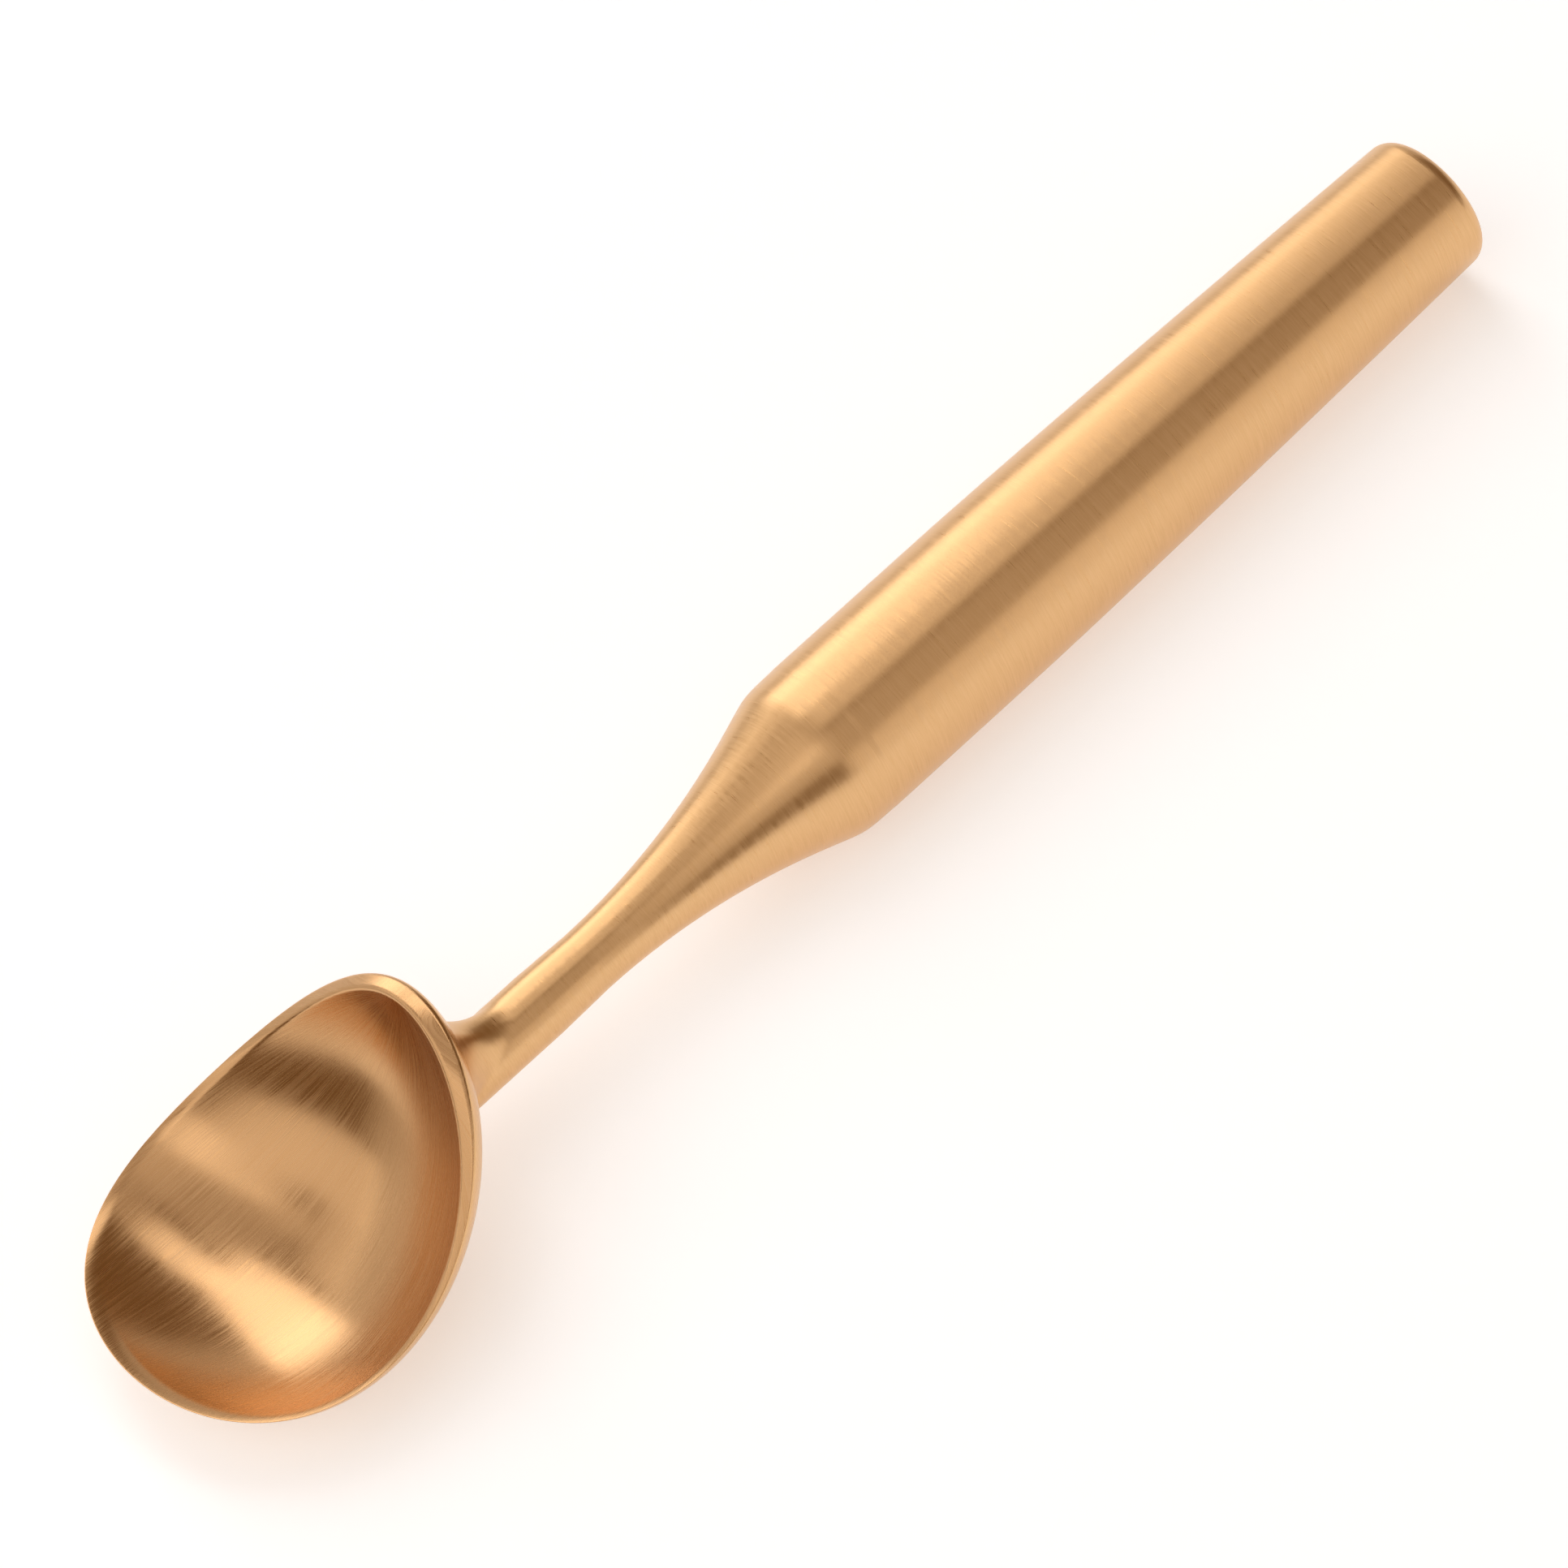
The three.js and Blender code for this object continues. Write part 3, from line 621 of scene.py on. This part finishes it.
def socket_line(turn_to):
    """Line along the socket and up the fillet, which a ball rolled into the corner would leave."""
    ball_height = NECK_END_RADIUS + SOCKET_FILLET
    middle_height = BOWL_CENTRE_Z * math.cos(turn_to)
    reach = math.sqrt(BOWL_RADIUS**2 - (BOWL_CENTRE_Z * math.sin(turn_to)) ** 2)
    lowest = math.asin((NECK_END_RADIUS - middle_height) / reach)
    highest = math.asin(min(1.0, (ball_height - middle_height) / reach))
    cut = []
    for i in range(CUT_STEPS + 1):
        cut.append(wall_cut(turn_to, lowest + (highest - lowest) * i / CUT_STEPS))
    far = cut[0][0] - BALL_RUN_UP
    near = cut[-1][0]
    for _ in range(BALL_HALVINGS):
        ball_x = (far + near) / 2.0
        gaps = [(math.hypot(x - ball_x, height - ball_height), (x, height)) for x, height in cut]
        gap, touch = min(gaps)
        if gap > SOCKET_FILLET:
            far = ball_x
        else:
            near = ball_x
    sweep = math.atan2(touch[0] - ball_x, ball_height - touch[1])
    line = []
    for i in range(SOCKET_STEPS):
        line.append((SOCKET_START + (ball_x - SOCKET_START) * i / SOCKET_STEPS, NECK_END_RADIUS))
    for i in range(FILLET_STEPS + 1):
        angle = sweep * i / FILLET_STEPS
        x = ball_x + SOCKET_FILLET * math.sin(angle)
        line.append((x, ball_height - SOCKET_FILLET * math.cos(angle)))
    return [Vector((x, r * math.sin(turn_to), r * math.cos(turn_to))) for x, r in line]


def skin(build, uv_layer, rings, first, last, unroll, finish):
    """Closed skin over equal rings, with a point at each end and its own unrolled map."""
    at = Vector((REAR_END_X, 0.0, AXIS_HEIGHT))
    rows = [[build.verts.new(p + at) for p in ring] for ring in rings]
    ends = (build.verts.new(first + at), build.verts.new(last + at))
    count = len(rings[0])
    faces = []
    for k in range(count):
        nxt = (k + 1) % count
        for row in range(len(rows) - 1):
            corners = ((row, k), (row, nxt), (row + 1, nxt), (row + 1, k))
            face = build.faces.new([rows[i][j] for i, j in corners])
            for loop, column in zip(face.loops, (k, k + 1, k + 1, k)):
                loop[uv_layer].uv = unroll(column, loop.vert.co - at)
            face.material_index = finish(row)
            faces.append(face)
        for end, row, order in ((ends[0], 0, (nxt, k)), (ends[1], len(rows) - 1, (k, nxt))):
            face = build.faces.new([end, rows[row][order[0]], rows[row][order[1]]])
            for loop in face.loops:
                loop[uv_layer].uv = unroll(k, loop.vert.co - at)
            face.material_index = finish(row)
            faces.append(face)
    bmesh.ops.recalc_face_normals(build, faces=faces)


def bowl_map(_, point):
    across = math.atan2(point.y, BOWL_CENTRE_Z - point.z) * BOWL_RADIUS
    return (across, point.x)


def socket_map(column, point):
    return (point.x, 2.0 * math.pi * HANDLE_RADIUS * column / TURN_STEPS)


# The inside and the rim take the darker gold that is painted shade; the outside takes the plain gold.
def shell_finish(row):
    return INSIDE_PAINTED_SHADE_FINISH if row < RIM_END_ROW else OUTSIDE_FINISH


def socket_finish(_):
    return SOCKET_FINISH


bowl_mesh = bpy.data.meshes.new("bowl")
bowl_build = bmesh.new()
bowl_uv = bowl_build.loops.layers.uv.new("UVMap")
sections = [bowl_section(2.0 * math.pi * k / RIM_STEPS) for k in range(RIM_STEPS)]
bowl_rings = [[section[row] for section in sections] for row in range(len(sections[0]))]
inner_middle = Vector((BOWL_CENTRE_X, 0.0, BOWL_CENTRE_Z - BOWL_RADIUS + BOWL_WALL))
outer_middle = Vector((BOWL_CENTRE_X, 0.0, BOWL_CENTRE_Z - BOWL_RADIUS))
skin(bowl_build, bowl_uv, bowl_rings, inner_middle, outer_middle, bowl_map, shell_finish)

socket_lines = [socket_line(2.0 * math.pi * k / TURN_STEPS) for k in range(TURN_STEPS)]
socket_rings = [[line[row] for line in socket_lines] for row in range(len(socket_lines[0]))]
foot = [(point - BOWL_CENTRE).normalized() for point in socket_rings[-1]]
foot_middle = sum(foot, Vector()).normalized()
for i in range(FOOT_STEPS):
    spread = [direction.lerp(foot_middle, i / FOOT_STEPS).normalized() for direction in foot]
    socket_rings.append([inside_wall(direction) for direction in spread])
socket_rear = Vector((SOCKET_START, 0.0, 0.0))
socket_front = inside_wall(foot_middle)
skin(bowl_build, bowl_uv, socket_rings, socket_rear, socket_front, socket_map, socket_finish)
bowl_build.to_mesh(bowl_mesh)
bowl_build.free()
bowl_brush = (BOWL_STROKE_WIDTH, BOWL_STROKE_LENGTH, BOWL_ROUGHNESS)
# The inside's material is the darker copy of the gold: painted shade of the bowl's hollow.
inside_painted_shade_brushed = brushed_gold("inside_brushed_gold_painted_shade", INSIDE_PAINTED_SHADE_GOLD, INSIDE_PAINTED_SHADE_GOLD_DEEP, *bowl_brush)
heel_to_lip = brushed_gold("lengthwise_brushed_gold", GOLD, GOLD_DEEP, *bowl_brush)
bowl_mesh.materials.append(inside_painted_shade_brushed)
bowl_mesh.materials.append(heel_to_lip)
bowl_mesh.materials.append(round_brushed)
bowl_mesh.shade_smooth()
bowl_mesh.set_sharp_from_angle(angle=BOWL_SHARP_EDGE)
bowl = bpy.data.objects.new("scoop_bowl", bowl_mesh)
bpy.context.scene.collection.objects.link(bowl)
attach(bowl, "root")
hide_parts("bowl")


# Table
# A wide sheet of matt white that the scoop lies on, bowl up, touching at the bowl and the handle.
# Behind the scoop, far from it, the sheet curves up into a backdrop.
SHEET_HALF_WIDTH = 6.0
SHEET_FRONT = 6.0
SHEET_BEND_START = -1.9
SHEET_BEND_RADIUS = 0.6
SHEET_TOP = 2.2
SHEET_BEND_STEPS = 16
SHEET_COLOUR = (0.92, 0.95, 1.0, 1.0)
SHEET_ROUGHNESS = 0.9
SHEET_SPECULAR = 0.2
SHEET_LIFT_COLOUR = (1.0, 1.0, 1.0, 1.0)
SHEET_LIFT = 0.41
sheet_profile = [(SHEET_FRONT, 0.0)]
for i in range(SHEET_BEND_STEPS + 1):
    bend = math.pi / 2.0 * i / SHEET_BEND_STEPS
    y = SHEET_BEND_START - SHEET_BEND_RADIUS * math.sin(bend)
    sheet_profile.append((y, SHEET_BEND_RADIUS * (1.0 - math.cos(bend))))
sheet_profile.append((SHEET_BEND_START - SHEET_BEND_RADIUS, SHEET_TOP))
floor_points = []
for y, z in sheet_profile:
    floor_points += [(-SHEET_HALF_WIDTH, y, z), (SHEET_HALF_WIDTH, y, z)]
floor_faces = [(2 * i, 2 * i + 2, 2 * i + 3, 2 * i + 1) for i in range(len(sheet_profile) - 1)]
floor_mesh = bpy.data.meshes.new("table")
floor_mesh.from_pydata(floor_points, [], floor_faces)
floor_mesh.shade_smooth()
floor = bpy.data.objects.new("table", floor_mesh)
bpy.context.scene.collection.objects.link(floor)
matt_white = bpy.data.materials.new("matt_white")
matt_white.use_nodes = True
white_nodes = matt_white.node_tree.nodes
white_links = matt_white.node_tree.links
white_shader = white_nodes["Principled BSDF"]
white_shader.inputs["Base Color"].default_value = SHEET_COLOUR
white_shader.inputs["Roughness"].default_value = SHEET_ROUGHNESS
white_shader.inputs["Specular IOR Level"].default_value = SHEET_SPECULAR
ray = white_nodes.new("ShaderNodeLightPath")
seen = white_nodes.new("ShaderNodeMath")
seen.operation = "MAXIMUM"
white_links.new(ray.outputs["Is Camera Ray"], seen.inputs[0])
white_links.new(ray.outputs["Is Glossy Ray"], seen.inputs[1])
seen_at_all = white_nodes.new("ShaderNodeMath")
seen_at_all.operation = "MAXIMUM"
white_links.new(seen.outputs["Value"], seen_at_all.inputs[0])
white_links.new(ray.outputs["Is Transmission Ray"], seen_at_all.inputs[1])
lift = white_nodes.new("ShaderNodeMath")
lift.operation = "MULTIPLY"
lift.inputs[1].default_value = SHEET_LIFT
white_links.new(seen_at_all.outputs["Value"], lift.inputs[0])
white_shader.inputs["Emission Color"].default_value = SHEET_LIFT_COLOUR
white_links.new(lift.outputs["Value"], white_shader.inputs["Emission Strength"])
floor_mesh.materials.append(matt_white)


# Light
# The brightest panels hang behind the neck and over the handle, weaker ones over and behind the bowl.
# Dim panels overhead and cards on the camera's side fill in, and a dark, warm room lies round them all.
ROOM_COLOUR = (1.0, 0.61, 0.29, 1.0)
ROOM_STRENGTH = 0.2


def softbox(name, middle, size, tilt, brightness):
    """Rectangular panel. Its power follows its area, so that brightness is what a mirror shows of it."""
    lamp = bpy.data.lights.new(name, "AREA")
    lamp.shape = "RECTANGLE"
    lamp.size, lamp.size_y = size
    lamp.energy = brightness * math.pi * lamp.size * lamp.size_y
    panel = bpy.data.objects.new(name, lamp)
    panel.location = middle
    panel.rotation_euler = (math.radians(tilt), 0.0, 0.0)
    bpy.context.scene.collection.objects.link(panel)


softbox("key_behind_neck", (-0.38, -0.90, 1.06), (0.70, 1.6), 45.0, 1.78)
softbox("softbox_over_handle", (-0.44, 0.05, 1.2), (0.38, 0.65), 0.0, 1.35)
softbox("softbox_over_lip", (1.26, 0.45, 1.1), (1.68, 1.1), 0.0, 0.82)
softbox("softbox_behind_lip", (1.4, -0.85, 1.1), (1.3, 1.5), 0.0, 0.75)
softbox("softbox_behind_bowl", (0.42, -1.08, 1.1), (0.66, 1.04), 0.0, 0.65)
softbox("dim_panel_overhead", (0.25, 0.1, 1.4), (0.8, 1.1), 0.0, 0.35)
softbox("dim_panel_by_bowl", (0.53, -0.38, 1.1), (0.46, 0.36), 0.0, 0.36)
softbox("low_card_by_camera", (-0.65, 1.35, 0.33), (1.0, 0.64), -90.0, 0.9)
softbox("high_card_by_bowl", (0.45, 0.95, 0.98), (1.0, 0.95), -45.0, 0.56)
softbox("high_card_by_handle", (-0.4, 0.95, 0.98), (0.7, 0.95), -45.0, 0.4)
room = bpy.data.worlds.new("dark_room")
room.use_nodes = True
room.node_tree.nodes["Background"].inputs["Color"].default_value = ROOM_COLOUR
room.node_tree.nodes["Background"].inputs["Strength"].default_value = ROOM_STRENGTH
bpy.context.scene.world = room


# Camera
# It stands about a metre away, to one side and a little towards the bowl's end, 49 degrees above the
# table. It is rolled so that the handle runs down the picture from the upper right.
VIEW_DISTANCE = 1.0
HANDLE_TILT = math.radians(17.0)
BOWL_TURN = math.radians(38.0)
HANDLE_SLOPE = math.radians(137.862)
PIXEL_AT_SCOOP = 0.0000925
SHOULDER_STATION = 0.10385
SHOULDER_RIGHT = 29.1
SHOULDER_UP = 26.8
SENSOR_WIDTH = 36.0
PHOTO_WIDTH = 1932.0
along = Vector((math.cos(HANDLE_SLOPE), -math.sin(HANDLE_SLOPE), 0.0))
beside = Vector((math.sin(HANDLE_SLOPE), math.cos(HANDLE_SLOPE), 0.0))
nearer = Vector((0.0, 0.0, 1.0))
tilt_cos, tilt_sin = math.cos(HANDLE_TILT), math.sin(HANDLE_TILT)
turn_cos, turn_sin = math.cos(BOWL_TURN), math.sin(BOWL_TURN)
x_seen = along * tilt_cos + nearer * tilt_sin
y_seen = -along * tilt_sin * turn_sin + beside * turn_cos + nearer * tilt_cos * turn_sin
z_seen = -along * tilt_sin * turn_cos - beside * turn_sin + nearer * tilt_cos * turn_cos
to_world = Matrix((x_seen, y_seen, z_seen))
shoulder = Vector((REAR_END_X + SHOULDER_STATION, 0.0, AXIS_HEIGHT))
shoulder_seen = Vector((SHOULDER_RIGHT * PIXEL_AT_SCOOP, SHOULDER_UP * PIXEL_AT_SCOOP, -VIEW_DISTANCE))
camera_data = bpy.data.cameras.new("camera")
camera_data.sensor_width = SENSOR_WIDTH
camera_data.lens = SENSOR_WIDTH * VIEW_DISTANCE / (PIXEL_AT_SCOOP * PHOTO_WIDTH)
camera = bpy.data.objects.new("camera", camera_data)
camera.matrix_world = Matrix.Translation(shoulder - to_world @ shoulder_seen) @ to_world.to_4x4()
bpy.context.scene.collection.objects.link(camera)
bpy.context.scene.camera = camera
bpy.context.scene.view_settings.view_transform = "Standard"
